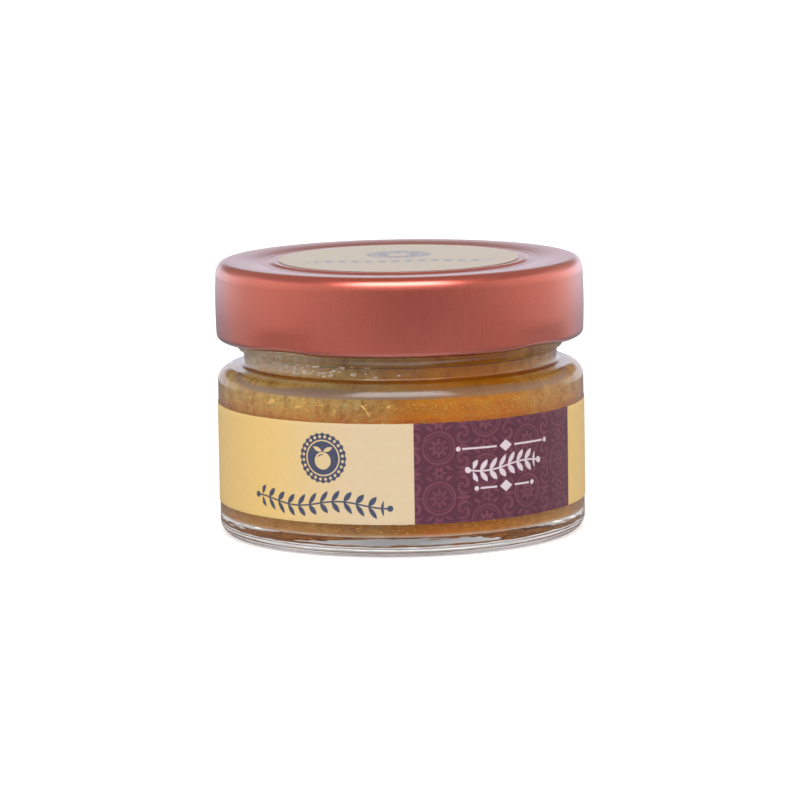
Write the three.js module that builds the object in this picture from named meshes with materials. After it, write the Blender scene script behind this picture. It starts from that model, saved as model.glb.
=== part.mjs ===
// A squat glass jar of marmalade with a twist-off metal lid, a wrap-round paper label and a round
// paper sticker on the lid. Millimetres, +Z up, the origin at the middle of the base, front at -Y.
import * as THREE from "three";

// Glass jar: outside
const BODY_RADIUS = 33.3;
const HEEL_ROUND = 2.5;
const BEARING_INNER_RADIUS = 26.6;
const PUSH_UP_RADIUS = 24.8;
const PUSH_UP_EDGE_Z = 0.6;
const PUSH_UP_RISE = 0.5;
const SHOULDER_Z = 30.6;
const SHOULDER_ROUND = 2.6;
const NECK_RADIUS = 28.5;
const NECK_FILLET = 0.8;
const NECK_FOOT_Z = 30.7;
const BEAD_BOTTOM_Z = 33.35;
const BEAD_ROUND = 1.3;
const FINISH_RADIUS = 29.75;
const RIM_Z = 48.05;
const RIM_ROUND = 0.9;

// Glass jar: inside
const MOUTH_RADIUS = 26.5;
const BORE_RADIUS = 30.9;
const FLOOR_Z = 3.2;
const FLOOR_RISE = 0.8;
const FLOOR_CORNER = 3.2;
const CEILING_Z = 28.7;
const CEILING_CORNER = 2.2;
const THROAT_ROUND = 1.5;

// Marmalade
const FILL_Z = 42.5;
const FILL_GAP = 0.05;

// Lid
const LID_RADIUS = 33.5;
const LID_BOTTOM_Z = 35.5;
const LID_CREST_Z = 49.65;
const LID_SHEET = 0.6;
const LID_TOP_ROUND = 1.45;
const CREST_ROUND = 30;
const CREST_OUTER_DEGREES = 81;
const CREST_INNER_DEGREES = 94;
const CURL_ROUND = 1.1;
const CURL_INNER_RADIUS = 30.7;
const CURL_TOP_Z = 38.0;
const CURL_BEVEL = 0.6;
const PANEL_RADIUS = 23.2;
const PANEL_Z = 49.5;
const PANEL_BEVEL = 0.3;
const GROOVE_RADIUS = 24.3;
const GROOVE_HALF_WIDTH = 0.5;
const GROOVE_Z = 48.9;

// Lugs of the lid, in degrees from the front towards +X
const LUG_ANGLES = [-40, 50, 140, 230];
const LUG_HALF_WIDTH = 17;
const LUG_PUSH = 0.5;
const LUG_LIFT = 0.35;
const LUG_FADE_Z = 40.2;

// Paper
const LABEL_BOTTOM_Z = 6.15;
const LABEL_TOP_Z = 24.05;
const LABEL_GAP = 0.04;
const LABEL_THICKNESS = 0.1;
const STICKER_RADIUS = 21.8;
const STICKER_THICKNESS = 0.11;
const STICKER_GAP = 0.02;

// Steps round the axis, and from the front to each end of the label
const JAR_STEPS = 60;
const LID_STEPS = 72;
const STICKER_STEPS = 60;
const LABEL_END_STEP = 29;

// A point of a profile: distance from the axis, then height
const at = (r, z) => new THREE.Vector2(r, z);

// Points of a circular arc in a profile, both ends included
function arc(r, z, radius, fromDegrees, toDegrees, steps) {
  const points = [];
  for (let i = 0; i <= steps; i += 1) {
    const degrees = fromDegrees + ((toDegrees - fromDegrees) * i) / steps;
    const angle = THREE.MathUtils.degToRad(degrees);
    points.push(at(r + radius * Math.cos(angle), z + radius * Math.sin(angle)));
  }
  return points;
}

// Points of a shallow dome, from its top on the axis out to its edge
function dome(radius, edgeZ, rise, steps) {
  const points = [];
  for (let i = 0; i <= steps; i += 1) {
    const share = i / steps;
    points.push(at(radius * share, edgeZ + rise * (1 - share * share)));
  }
  return points;
}

// A profile turned round +Z, starting at the front
function turned(profile, steps) {
  return new THREE.LatheGeometry(profile, steps).rotateX(Math.PI / 2);
}

function part(name, geometry, look) {
  const mesh = new THREE.Mesh(geometry, new THREE.MeshStandardMaterial(look));
  mesh.name = name;
  return mesh;
}

// The inside of the glass, from the middle of the floor up to the throat, moved inwards by gap
function cavity(gap) {
  const cornerR = BORE_RADIUS - FLOOR_CORNER;
  const ceilingR = BORE_RADIUS - CEILING_CORNER;
  const throatR = MOUTH_RADIUS + THROAT_ROUND;
  return [
    ...dome(cornerR, FLOOR_Z + gap, FLOOR_RISE, 3).slice(0, -1),
    ...arc(cornerR, FLOOR_Z + FLOOR_CORNER, FLOOR_CORNER - gap, -90, 0, 5),
    ...arc(ceilingR, CEILING_Z - CEILING_CORNER, CEILING_CORNER - gap, 0, 90, 4),
    ...arc(throatR, CEILING_Z + THROAT_ROUND, THROAT_ROUND + gap, -90, -180, 3),
  ];
}

// Glass: push-up, bearing ring, heel, wall, shoulder, neck, bead and rim, then back down inside
function jarProfile() {
  const heelR = BODY_RADIUS - HEEL_ROUND;
  const shoulderR = BODY_RADIUS - SHOULDER_ROUND;
  const roundZ = RIM_Z - RIM_ROUND;
  return [
    ...dome(PUSH_UP_RADIUS, PUSH_UP_EDGE_Z, PUSH_UP_RISE, 2),
    at(BEARING_INNER_RADIUS, 0),
    ...arc(heelR, HEEL_ROUND, HEEL_ROUND, -90, 0, 5),
    ...arc(shoulderR, SHOULDER_Z - SHOULDER_ROUND, SHOULDER_ROUND, 0, 90, 5),
    ...arc(NECK_RADIUS + NECK_FILLET, NECK_FOOT_Z + NECK_FILLET, NECK_FILLET, -90, -180, 3),
    at(NECK_RADIUS, BEAD_BOTTOM_Z),
    ...arc(FINISH_RADIUS - BEAD_ROUND, BEAD_BOTTOM_Z + BEAD_ROUND, BEAD_ROUND, -70, 0, 3),
    ...arc(FINISH_RADIUS - RIM_ROUND, roundZ, RIM_ROUND, 0, 90, 3),
    ...arc(MOUTH_RADIUS + RIM_ROUND, roundZ, RIM_ROUND, 90, 180, 3),
    ...cavity(0).reverse(),
  ];
}

function marmaladeProfile() {
  return [...cavity(FILL_GAP), at(MOUTH_RADIUS - FILL_GAP, FILL_Z), at(0, FILL_Z)];
}

// Lid: underside of the top, inside of the skirt, rolled curl, outside of the skirt, crest, panel
function lidProfile() {
  const outer = THREE.MathUtils.degToRad(CREST_OUTER_DEGREES);
  const reach = CREST_ROUND - LID_TOP_ROUND;
  const crestZ = LID_CREST_Z - CREST_ROUND;
  const cornerR = LID_RADIUS - LID_TOP_ROUND;
  const cornerZ = crestZ + reach * Math.sin(outer);
  const crestR = cornerR - reach * Math.cos(outer);
  const boreR = LID_RADIUS - LID_SHEET;
  const curlR = LID_RADIUS - CURL_ROUND;
  const lipRound = curlR - CURL_INNER_RADIUS;
  const grooveInR = GROOVE_RADIUS - GROOVE_HALF_WIDTH;
  const grooveOutR = GROOVE_RADIUS + GROOVE_HALF_WIDTH;
  return [
    at(0, PANEL_Z - LID_SHEET),
    at(PANEL_RADIUS - LID_SHEET, PANEL_Z - LID_SHEET),
    at(grooveInR - PANEL_BEVEL, GROOVE_Z - LID_SHEET),
    at(grooveOutR + PANEL_BEVEL, GROOVE_Z - LID_SHEET),
    at(crestR, LID_CREST_Z - LID_SHEET),
    ...arc(cornerR, cornerZ, LID_TOP_ROUND - LID_SHEET, CREST_OUTER_DEGREES, 0, 3),
    at(boreR, CURL_TOP_Z + CURL_BEVEL),
    at(boreR - CURL_BEVEL, CURL_TOP_Z),
    at(CURL_INNER_RADIUS + CURL_BEVEL, CURL_TOP_Z),
    at(CURL_INNER_RADIUS, CURL_TOP_Z - CURL_BEVEL),
    ...arc(curlR, LID_BOTTOM_Z + lipRound, lipRound, 180, 240, 2),
    ...arc(curlR, LID_BOTTOM_Z + CURL_ROUND, CURL_ROUND, -90, 0, 3),
    at(LID_RADIUS, LUG_FADE_Z),
    ...arc(cornerR, cornerZ, LID_TOP_ROUND, 0, CREST_OUTER_DEGREES, 4),
    ...arc(crestR, crestZ, CREST_ROUND, CREST_OUTER_DEGREES, CREST_INNER_DEGREES, 4).slice(1),
    at(grooveOutR, GROOVE_Z),
    at(grooveInR, GROOVE_Z),
    at(PANEL_RADIUS, PANEL_Z - PANEL_BEVEL / 2),
    at(PANEL_RADIUS - PANEL_BEVEL, PANEL_Z),
    at(0, PANEL_Z),
  ];
}

// Where an angle in degrees lies in the nearest lug: 1 in its middle, 0 at its ends and beyond
function lugWeight(degrees) {
  const apart = (lug) => Math.abs(THREE.MathUtils.euclideanModulo(degrees - lug + 180, 360) - 180);
  const nearest = Math.min(...LUG_ANGLES.map(apart)) / LUG_HALF_WIDTH;
  return nearest < 1 ? Math.cos((nearest * Math.PI) / 2) ** 2 : 0;
}

// The curl pressed in and up at each lug, fading out up the skirt
function pressLugs(geometry) {
  const position = geometry.getAttribute("position");
  const point = new THREE.Vector3();
  for (let i = 0; i < position.count; i += 1) {
    point.fromBufferAttribute(position, i);
    const degrees = THREE.MathUtils.radToDeg(Math.atan2(point.x, -point.y));
    const low = 1 - THREE.MathUtils.smoothstep(point.z, LID_BOTTOM_Z, LUG_FADE_Z);
    const weight = lugWeight(degrees) * low;
    const radius = Math.hypot(point.x, point.y);
    const scale = radius > 0 ? (radius - LUG_PUSH * weight) / radius : 1;
    position.setXYZ(i, point.x * scale, point.y * scale, point.z + LUG_LIFT * weight * low);
  }
  return geometry;
}

// A strip of paper round the body, its two ends apart at the back
function labelGeometry() {
  const inner = BODY_RADIUS + LABEL_GAP;
  const directions = [];
  for (let i = -LABEL_END_STEP; i <= LABEL_END_STEP; i += 1) {
    const angle = (i * 2 * Math.PI) / JAR_STEPS;
    directions.push(at(Math.sin(angle), -Math.cos(angle)));
  }
  const outside = directions.map((d) => d.clone().multiplyScalar(inner + LABEL_THICKNESS));
  const inside = directions.map((d) => d.clone().multiplyScalar(inner)).reverse();
  const strip = new THREE.Shape([...outside, ...inside]);
  const depth = LABEL_TOP_Z - LABEL_BOTTOM_Z;
  const geometry = new THREE.ExtrudeGeometry(strip, { depth, bevelEnabled: false });
  return geometry.translate(0, 0, LABEL_BOTTOM_Z);
}

function stickerGeometry() {
  const top = at(STICKER_RADIUS, STICKER_THICKNESS);
  const profile = [at(0, 0), at(STICKER_RADIUS, 0), top, at(0, STICKER_THICKNESS)];
  return turned(profile, STICKER_STEPS).translate(0, 0, PANEL_Z + STICKER_GAP);
}

const glass = {
  color: 0xdfe4e0, roughness: 0.05, metalness: 0, transparent: true, opacity: 0.35,
};
const jelly = { color: 0xb9741f, roughness: 0.35, metalness: 0 };
const lacquer = { color: 0xa9584c, roughness: 0.38, metalness: 0.9 };
const labelPaper = { color: 0xe8cd96, roughness: 0.7, metalness: 0 };
const stickerPaper = { color: 0xe9d5b6, roughness: 0.6, metalness: 0 };

const marmaladeJar = new THREE.Group();
marmaladeJar.add(
  part("glass_jar", turned(jarProfile(), JAR_STEPS), glass),
  part("marmalade", turned(marmaladeProfile(), JAR_STEPS), jelly),
  part("lid", pressLugs(turned(lidProfile(), LID_STEPS)), lacquer),
  part("wrap_label", labelGeometry(), labelPaper),
  part("lid_sticker", stickerGeometry(), stickerPaper),
);

export default marmaladeJar;
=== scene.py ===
from math import cos, pi, radians, sin

import bpy
import numpy as np
from bpy.props import FloatProperty, FloatVectorProperty, IntProperty, PointerProperty
from mathutils import Matrix, Vector


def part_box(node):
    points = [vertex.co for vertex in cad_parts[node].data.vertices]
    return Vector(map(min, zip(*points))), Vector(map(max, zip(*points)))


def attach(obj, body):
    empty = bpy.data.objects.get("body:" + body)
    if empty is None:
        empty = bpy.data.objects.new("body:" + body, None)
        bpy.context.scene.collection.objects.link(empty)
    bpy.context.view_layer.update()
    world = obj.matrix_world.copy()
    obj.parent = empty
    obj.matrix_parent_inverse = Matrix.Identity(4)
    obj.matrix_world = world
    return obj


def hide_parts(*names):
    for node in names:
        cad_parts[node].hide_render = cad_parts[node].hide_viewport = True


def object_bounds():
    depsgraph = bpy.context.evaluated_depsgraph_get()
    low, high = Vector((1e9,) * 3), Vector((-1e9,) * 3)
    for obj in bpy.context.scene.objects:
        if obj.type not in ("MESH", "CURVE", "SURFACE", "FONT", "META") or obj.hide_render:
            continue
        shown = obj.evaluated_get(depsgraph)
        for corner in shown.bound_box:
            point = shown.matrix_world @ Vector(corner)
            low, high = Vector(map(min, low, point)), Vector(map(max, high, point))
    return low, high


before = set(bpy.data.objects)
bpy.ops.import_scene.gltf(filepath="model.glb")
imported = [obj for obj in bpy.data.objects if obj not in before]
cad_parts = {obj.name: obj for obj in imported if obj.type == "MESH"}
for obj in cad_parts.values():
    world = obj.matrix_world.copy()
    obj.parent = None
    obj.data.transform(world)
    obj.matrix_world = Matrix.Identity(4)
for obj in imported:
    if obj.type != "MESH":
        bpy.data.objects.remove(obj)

# A squat glass jar of marmalade: clear glass, jelly with peel and pulp, a lacquered twist-off lid,
# a printed wrap label and a round sticker. Angles run from the front, -Y, towards +X.

bl_info = {
    "name": "Marmalade jar",
    "version": (1, 0, 0),
    "blender": (4, 5, 0),
    "location": "3D View > Sidebar > Jar",
    "description": "Builds a filled marmalade jar with its lid, label and sticker",
    "category": "Object",
}

CAD_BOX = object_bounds()
MM = 0.001

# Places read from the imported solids
_, JAR_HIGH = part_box("glass_jar")
_, FILL_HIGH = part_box("marmalade")
LID_LOW, LID_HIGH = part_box("lid")
LABEL_LOW, LABEL_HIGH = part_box("wrap_label")
STICKER_LOW, STICKER_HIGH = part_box("lid_sticker")

# Glass, in metres
HEEL_ROUND = 2.5 * MM
BEARING_RADIUS = 26.6 * MM
PUSH_UP_RADIUS = 24.8 * MM
PUSH_UP_EDGE_Z = 0.6 * MM
PUSH_UP_RISE = 0.5 * MM
SHOULDER_Z = 30.6 * MM
SHOULDER_ROUND = 2.6 * MM
NECK_RADIUS = 28.5 * MM
NECK_FILLET = 0.8 * MM
NECK_FOOT_Z = 30.7 * MM
BEAD_BOTTOM_Z = 33.35 * MM
BEAD_ROUND = 1.3 * MM
FINISH_RADIUS = 29.75 * MM
RIM_ROUND = 0.9 * MM
MOUTH_RADIUS = 26.5 * MM
BORE_RADIUS = 30.9 * MM
FLOOR_Z = 3.2 * MM
FLOOR_RISE = 0.8 * MM
FLOOR_CORNER = 3.2 * MM
CEILING_Z = 28.7 * MM
CEILING_CORNER = 3.0 * MM
THROAT_ROUND = 1.5 * MM
WAVE_FADE = 4.0 * MM
WAVE_TOP_Z = 40.0 * MM
WAVE_RADIUS = 20.0 * MM
WAVE_REACH = 0.5 * MM
FLOOR_LOOSE = 0.9
LOOSE_SOFT = 0.06
FLOOR_STEPS = 14

# Waves in the glass: share of the depth, count round the axis, start in radians, turn with each millimetre
GLASS_WAVES = ((0.55, 3.0, 0.7, 0.07), (0.30, 7.0, -1.1, -0.11), (0.15, 13.0, 0.0, 0.2))

# The jelly's top, in metres: steps in from the wall and down from its edge, and how far its middle dips
FILL_EDGE = ((0.0, 0.0), (0.4 * MM, 0.25 * MM), (1.6 * MM, 0.6 * MM))
FILL_DIP = 0.8 * MM

# Least step along a profile, in metres, and what counts as the same point
LEAST_STEP = 0.02 * MM
SAME_POINT = 1e-9
DIGITS = 9

# Heights in millimetres between which, going down, the glass's streaks and the lid's painted shade come in
BASE_STREAKS = (5.5, 2.0)
LID_FOOT_SHADE = (36.75, 36.1)

# Lid, in metres and degrees
LID_SHEET = 0.6 * MM
LID_TOP_ROUND = 1.8 * MM
SLOW_ROUND = 6.0 * MM
SLOW_TURN = 14.0
BARREL_SAG = 0.12 * MM
CREST_ROUND = 40.0 * MM
CREST_OUTER = 89.0
CREST_INNER = 98.0
CURL_ROUND = 1.1 * MM
CURL_RADIUS = 30.7 * MM
CURL_TOP_Z = 38.0 * MM
CURL_BEVEL = 0.6 * MM
PANEL_RADIUS = 23.2 * MM
PANEL_Z = 49.5 * MM
PANEL_ROUND = 0.15 * MM
GROOVE_IN_RADIUS = 23.8 * MM
GROOVE_OUT_RADIUS = 24.5 * MM
GROOVE_Z = 49.27 * MM
LUG_ANGLES = np.radians([-40.0, 50.0, 140.0, 230.0])
LUG_HALF_WIDTH = radians(17.0)
LUG_PUSH = 0.5 * MM
LUG_LIFT = 0.35 * MM
LUG_FADE_Z = 40.2 * MM

# Bits in the jelly. Clusters: share of the bits, middle and spread in degrees, lowest and highest level.
# Ranges and levels are in millimetres, slope is mean and spread in radians, steps and sides shape each tube.
PEEL_BITS = dict(
    clusters=((0.55, 0.0, 180.0, 5.0, 26.6), (0.45, -45.0, 26.0, 23.5, 27.0)), slope=(0.2, 0.6), steps=12,
    sides=8, length=(1.0, 2.6), width=(0.45, 1.0), thickness=(0.4, 0.7), proud=(-0.03, 0.06),
)
PULP_BITS = dict(
    clusters=(
        (0.28, 0.0, 180.0, 4.5, 26.2),
        (0.30, 0.0, 180.0, 4.0, 7.5),
        (0.10, 0.0, 180.0, 31.0, 36.0),
        (0.16, -40.0, 24.0, 23.8, 27.2),
        (0.16, 40.0, 22.0, 23.8, 27.2),
    ), slope=(0.0, 0.8), steps=5,
    sides=6, length=(0.2, 0.45), width=(0.16, 0.30), thickness=(0.2, 0.32), proud=(-0.02, 0.1),
)
AIR_BITS = dict(
    clusters=((0.7, -42.0, 14.0, 31.3, 33.3), (0.3, -22.0, 14.0, 31.3, 33.3)), slope=(0.12, 0.16), steps=8,
    sides=8, length=(0.45, 1.4), width=(0.26, 0.5), thickness=(0.15, 0.25), proud=(0.04, 0.1),
)
BIT_SEED = 20

# How far bits bend in radians, taper and wobble
BIT_BEND = 0.15
BIT_TAPER = 0.97
BIT_WOBBLE = 0.25
WOBBLE_TURN = 3.0
WOBBLE_MIX = 9.0

# Paper, in metres and radians
LABEL_END_ANGLE = radians(174.0)
LABEL_GAP = 0.02 * MM
PAPER_ROUND = 0.03 * MM
LABEL_ROWS = 20
LABEL_STEPS = 348


def a_colour(name, description, default):
    """A colour that the panel shows, each channel from 0 to 1."""
    return FloatVectorProperty(
        name=name, description=description, subtype="COLOR", default=default, min=0.0, max=1.0
    )


def a_count(name, description, default, least=0):
    """A whole number that the panel shows."""
    return IntProperty(name=name, description=description, default=default, min=least)


def a_length(name, description, default):
    """A length in metres that the panel shows."""
    return FloatProperty(name=name, description=description, default=default, unit="LENGTH")


class JarSettings(bpy.types.PropertyGroup):
    """Sizes and colours of the jar that a user may change."""

    turn_steps: a_count("Turn steps", "Steps round each turned piece", 240, 48)
    glass_wave: a_length("Glass wave", "How far the inside of the glass strays from true", 0.10 * MM)
    fill_overlap: a_length("Fill overlap", "How far the jelly reaches into the glass wall", 0.06 * MM)
    fill_shrink: a_length("Fill shrink", "How far the jelly stands off the floor", 0.08 * MM)
    shred_count: a_count("Peel shreds", "Shreds of peel against the glass", 170)
    fleck_count: a_count("Pulp flecks", "Flecks of pulp against the glass", 2000)
    air_count: a_count("Air pockets", "Flat pockets of air in the neck", 64)
    glass_tint: a_colour("Glass tint", "Tint of the clear glass", (0.965, 0.975, 0.97))
    jelly_colour: a_colour("Jelly", "Jelly where it is clear", (0.66, 0.222, 0.002))
    cloudy_colour: a_colour("Cloudy jelly", "Jelly that is full of pulp", (0.60, 0.330, 0.082))
    # Also the painted shade of the throat band
    settled_and_throat_shade_colour: a_colour("Settled jelly", "Jelly low down, where it is thick", (0.52, 0.138, 0.008))
    # Also the colour of the painted highlights at the bead, the neck's foot, the ceiling and the floor
    froth_and_highlight_colour: a_colour("Froth", "Pale froth and air in the neck", (0.97, 0.80, 0.62))
    # A painted reflection: the grey ring under the shoulder stands for the glass's reflections there
    shoulder_reflection_colour: a_colour("Shoulder ring", "Grey of the air under the shoulder", (0.29, 0.182, 0.122))
    peel_colour: a_colour("Peel", "Shreds of peel", (0.86, 0.55, 0.16))
    pulp_colour: a_colour("Pulp", "Flecks of pulp", (0.88, 0.50, 0.10))
    air_colour: a_colour("Air", "Silver of the pockets of air", (0.92, 0.82, 0.66))
    lid_colour: a_colour("Lid", "Lacquered metal of the lid", (0.59, 0.099, 0.060))
    paper_colour: a_colour("Label paper", "Cream ground of the label", (0.537, 0.368, 0.128))
    # A painted sheen: the paler ground in the label's middle
    painted_sheen_colour: a_colour("Faded paper", "Paler ground in the label's middle", (0.447, 0.354, 0.234))
    plum_colour: a_colour("Label plum", "Ground of the label's dark field", (0.065, 0.0142, 0.030))
    damask_colour: a_colour("Damask", "Lighter tone of the dark field's pattern", (0.120, 0.034, 0.051))
    ornament_colour: a_colour("Ornaments", "Pale print on the dark field", (0.50, 0.43, 0.47))
    ink_colour: a_colour("Label ink", "Dark blue ink of the label's motifs", (0.026, 0.036, 0.078))
    sticker_colour: a_colour("Sticker paper", "Ground of the lid's sticker", (0.476, 0.447, 0.395))
    sticker_ink: a_colour("Sticker ink", "Blue ink of the sticker's motifs", (0.20, 0.24, 0.36))


# Profiles and meshes


def arc(r, z, radius, start, end, steps):
    """Points of a circle's arc in a profile: centre plus radius times the cosine and sine of the angle."""
    angle = np.radians(np.linspace(start, end, steps + 1))
    return np.column_stack((r + radius * np.cos(angle), z + radius * np.sin(angle)))


def dome(radius, edge_z, rise, steps):
    """Points of a parabola from the axis out.

    The height is the edge's height plus the rise times one less the square of the share of the radius.
    """
    share = np.linspace(0.0, 1.0, steps + 1)
    return np.column_stack((radius * share, edge_z + rise * (1.0 - share**2)))


def refined(points, longest):
    """The same profile with extra points on its long straight stretches, none further apart than longest."""
    step = np.linalg.norm(np.diff(points, axis=0), axis=1)
    keep = np.concatenate(([True], step > SAME_POINT))
    points = points[keep]
    along = np.concatenate(([0.0], np.cumsum(np.linalg.norm(np.diff(points, axis=0), axis=1))))
    extra = np.arange(0.0, along[-1], longest)
    marks = np.unique(np.concatenate((along, extra)).round(DIGITS))
    gaps = np.diff(marks, prepend=-1.0) > LEAST_STEP
    marks = marks[gaps | np.isin(marks, along.round(DIGITS))]
    return np.column_stack([np.interp(marks, along, points[:, k]) for k in (0, 1)])


def to_mesh(name, points, faces, material, smooth=40.0):
    """One object at the origin from arrays of points and faces, shaded smooth up to an angle in degrees."""
    mesh = bpy.data.meshes.new(name)
    mesh.from_pydata(points.reshape(-1, 3).tolist(), [], faces)
    mesh.shade_smooth()
    mesh.set_sharp_from_angle(angle=radians(smooth))
    mesh.validate()
    mesh.materials.append(material)
    piece = bpy.data.objects.new(name, mesh)
    bpy.context.scene.collection.objects.link(piece)
    return piece


def turned(profile, steps, shift=None):
    """A profile turned round the axis: point (i, j) is at angle i and at profile point j, moved by shift.

    A profile that begins and ends on the axis gets one point there, with a fan of triangles round it.
    """
    ring = profile[1:-1]
    angle = (np.arange(steps) * 2.0 * np.pi / steps)[:, None]
    r = np.repeat(ring[None, :, 0], steps, axis=0)
    z = np.repeat(ring[None, :, 1], steps, axis=0)
    if shift is not None:
        r, z = shift(angle, r, z)
    grid = np.stack((r * np.sin(angle), -r * np.cos(angle), z), axis=-1)
    poles = [[0.0, 0.0, profile[0, 1]], [0.0, 0.0, profile[-1, 1]]]
    points = np.vstack((grid.reshape(-1, 3), poles))
    count = len(ring)
    index = np.arange(steps * count).reshape(steps, count)
    after = np.roll(index, -1, axis=0)
    quads = np.stack((index[:, :-1], after[:, :-1], after[:, 1:], index[:, 1:]), axis=-1)
    first = np.full(steps, steps * count)
    low = np.column_stack((first, after[:, 0], index[:, 0]))
    high = np.column_stack((index[:, -1], after[:, -1], first + 1))
    return points, quads.reshape(-1, 4).tolist() + low.tolist() + high.tolist()


def swept_tubes(grid):
    """Faces of closed tubes: grid (tube, step, side, xyz) with each end closed by one many-sided face."""
    tubes, steps, sides, _ = grid.shape
    index = np.arange(tubes * steps * sides).reshape(tubes, steps, sides)
    side = np.roll(index, -1, axis=2)
    quads = np.stack((index[:, :-1], side[:, :-1], side[:, 1:], index[:, 1:]), axis=-1)
    starts = index[:, 0, ::-1].reshape(-1, sides)
    ends = index[:, -1].reshape(-1, sides)
    return quads.reshape(-1, 4).tolist() + starts.tolist() + ends.tolist()


def place(piece, slot, *nodes):
    """The piece rides on the part's one body and stands for the named solids, which it hides. The slot is
    not used.
    """
    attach(piece, "root")
    if nodes:
        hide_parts(*nodes)


# Materials


class Field:
    """A number that varies over a surface: a socket of a node tree, where arithmetic adds Math nodes."""

    def __init__(self, tree, socket):
        self.tree = tree
        self.socket = socket

    def math(self, operation, *others, clamp=False):
        """The result of one Math node whose first input is this field."""
        node = self.tree.nodes.new("ShaderNodeMath")
        node.operation = operation
        node.use_clamp = clamp
        for slot, value in zip(node.inputs, (self, *others)):
            feed(slot, value)
        return Field(self.tree, node.outputs[0])

    def __add__(self, other):
        return self.math("ADD", other)

    def __sub__(self, other):
        return self.math("SUBTRACT", other)

    def __mul__(self, other):
        return self.math("MULTIPLY", other)

    def __truediv__(self, other):
        return self.math("DIVIDE", other)

    def __abs__(self):
        return self.math("ABSOLUTE")

    def low(self, other):
        """The smaller of two values, which joins two printed shapes."""
        return self.math("MINIMUM", other)

    def high(self, other):
        """The larger of two values, which keeps what two printed shapes share."""
        return self.math("MAXIMUM", other)

    def wrapped(self, period):
        """The place within a repeat of that period, from minus to plus half of it."""
        return self.math("FLOORED_MODULO", period) - period / 2.0

    def inside(self, softness=0.08):
        """1 where a signed distance is below zero and 0 outside, with a soft edge."""
        return (self * (-1.0 / softness)).math("ADD", 0.5, clamp=True)


def feed(socket, value):
    """Links a field or a socket to a socket, or sets a plain value on it."""
    if isinstance(value, Field):
        value = value.socket
    if isinstance(value, bpy.types.NodeSocket):
        socket.id_data.links.new(value, socket)
    else:
        socket.default_value = value


def new_material(name, **sockets):
    """A material with one Principled shader whose named sockets hold plain values."""
    material = bpy.data.materials.new(name)
    material.use_nodes = True
    shader = material.node_tree.nodes["Principled BSDF"]
    for socket, value in sockets.items():
        shader.inputs[socket.replace("_", " ")].default_value = value
    return material, material.node_tree, shader


def rgba(colour):
    """A colour with full opacity."""
    return (*colour, 1.0)


def object_place(tree):
    """The socket of the piece's own coordinates, in metres."""
    return tree.nodes.new("ShaderNodeTexCoord").outputs["Object"]


def split_axes(tree, socket):
    """The x, y and z of a socket as fields."""
    split = tree.nodes.new("ShaderNodeSeparateXYZ")
    feed(split.inputs[0], socket)
    return [Field(tree, output) for output in split.outputs]


def axes(tree):
    """The piece's own x, y and z as fields, in millimetres."""
    return [axis * (1.0 / MM) for axis in split_axes(tree, object_place(tree))]


def stretched(tree, scale):
    """The piece's own coordinates times a scale for each axis."""
    mapping = tree.nodes.new("ShaderNodeMapping")
    mapping.inputs["Scale"].default_value = scale
    feed(mapping.inputs["Vector"], object_place(tree))
    return mapping.outputs[0]


def noise(tree, scale, detail=2.0, roughness=0.5, vector=None, distortion=0.0):
    """A noise field of so many grains to the metre."""
    node = tree.nodes.new("ShaderNodeTexNoise")
    node.inputs["Scale"].default_value = scale
    node.inputs["Detail"].default_value = detail
    node.inputs["Roughness"].default_value = roughness
    node.inputs["Distortion"].default_value = distortion
    feed(node.inputs["Vector"], vector or object_place(tree))
    return Field(tree, node.outputs["Fac"])


def ramped(value, low, high):
    """0 where a field is at low, 1 where it is at high, with a soft start and end in between."""
    node = value.tree.nodes.new("ShaderNodeMapRange")
    node.interpolation_type = "SMOOTHSTEP"
    feed(node.inputs["Value"], value)
    node.inputs["From Min"].default_value = low
    node.inputs["From Max"].default_value = high
    return Field(value.tree, node.outputs["Result"])


def between(share, first, second):
    """The colour that lies a share of the way from the first colour to the second."""
    node = share.tree.nodes.new("ShaderNodeMix")
    node.data_type = "RGBA"
    feed(node.inputs[0], share)
    feed(node.inputs[6], first)
    feed(node.inputs[7], second)
    return node.outputs[2]


def bump(shader, height, distance):
    """Fine relief on a surface: a height field of so many metres."""
    node = height.tree.nodes.new("ShaderNodeBump")
    node.inputs["Distance"].default_value = distance
    feed(node.inputs["Height"], height)
    feed(shader.inputs["Normal"], node.outputs[0])


def shaded(colour, *factors):
    """A colour with each channel times its own factor, never above 1."""
    return rgba(min(1.0, c * k) for c, k in zip(colour, factors))


def scaled(colour, factor):
    """A colour times a field."""
    node = factor.tree.nodes.new("ShaderNodeVectorMath")
    node.operation = "SCALE"
    feed(node.inputs[0], colour)
    feed(node.inputs["Scale"], factor)
    return node.outputs[0]


def window(value, low, high, soft):
    """1 between two limits and 0 beyond them, with soft edges."""
    return ramped(value, low - soft, low + soft) * ramped(value, high + soft, high - soft)


def clear_glass(jar):
    """Bright flint glass, faintly rippled, and streaky towards its base."""
    material, tree, shader = new_material(
        "clear_glass", Base_Color=rgba(jar.glass_tint), Roughness=0.0, IOR=1.5,
        Transmission_Weight=1.0,
    )
    ripples = noise(tree, 70.0)
    streaks = noise(tree, 1.0, vector=stretched(tree, (130.0, 130.0, 700.0)))
    streaks = streaks * ramped(axes(tree)[2], *BASE_STREAKS)
    bump(shader, ripples * 0.3 + streaks * 0.7, 0.06 * MM)
    return material


# Jelly, in millimetres across or up: a ramp is where an effect begins and where it is full
CLEAR_SIDE = (-6.0, 8.0)
CLOUDY_END = (16.0, 24.0)
SETTLED_BELOW = (27.5, 23.5)
SETTLED_MORE = (6.0, 8.0)
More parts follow.
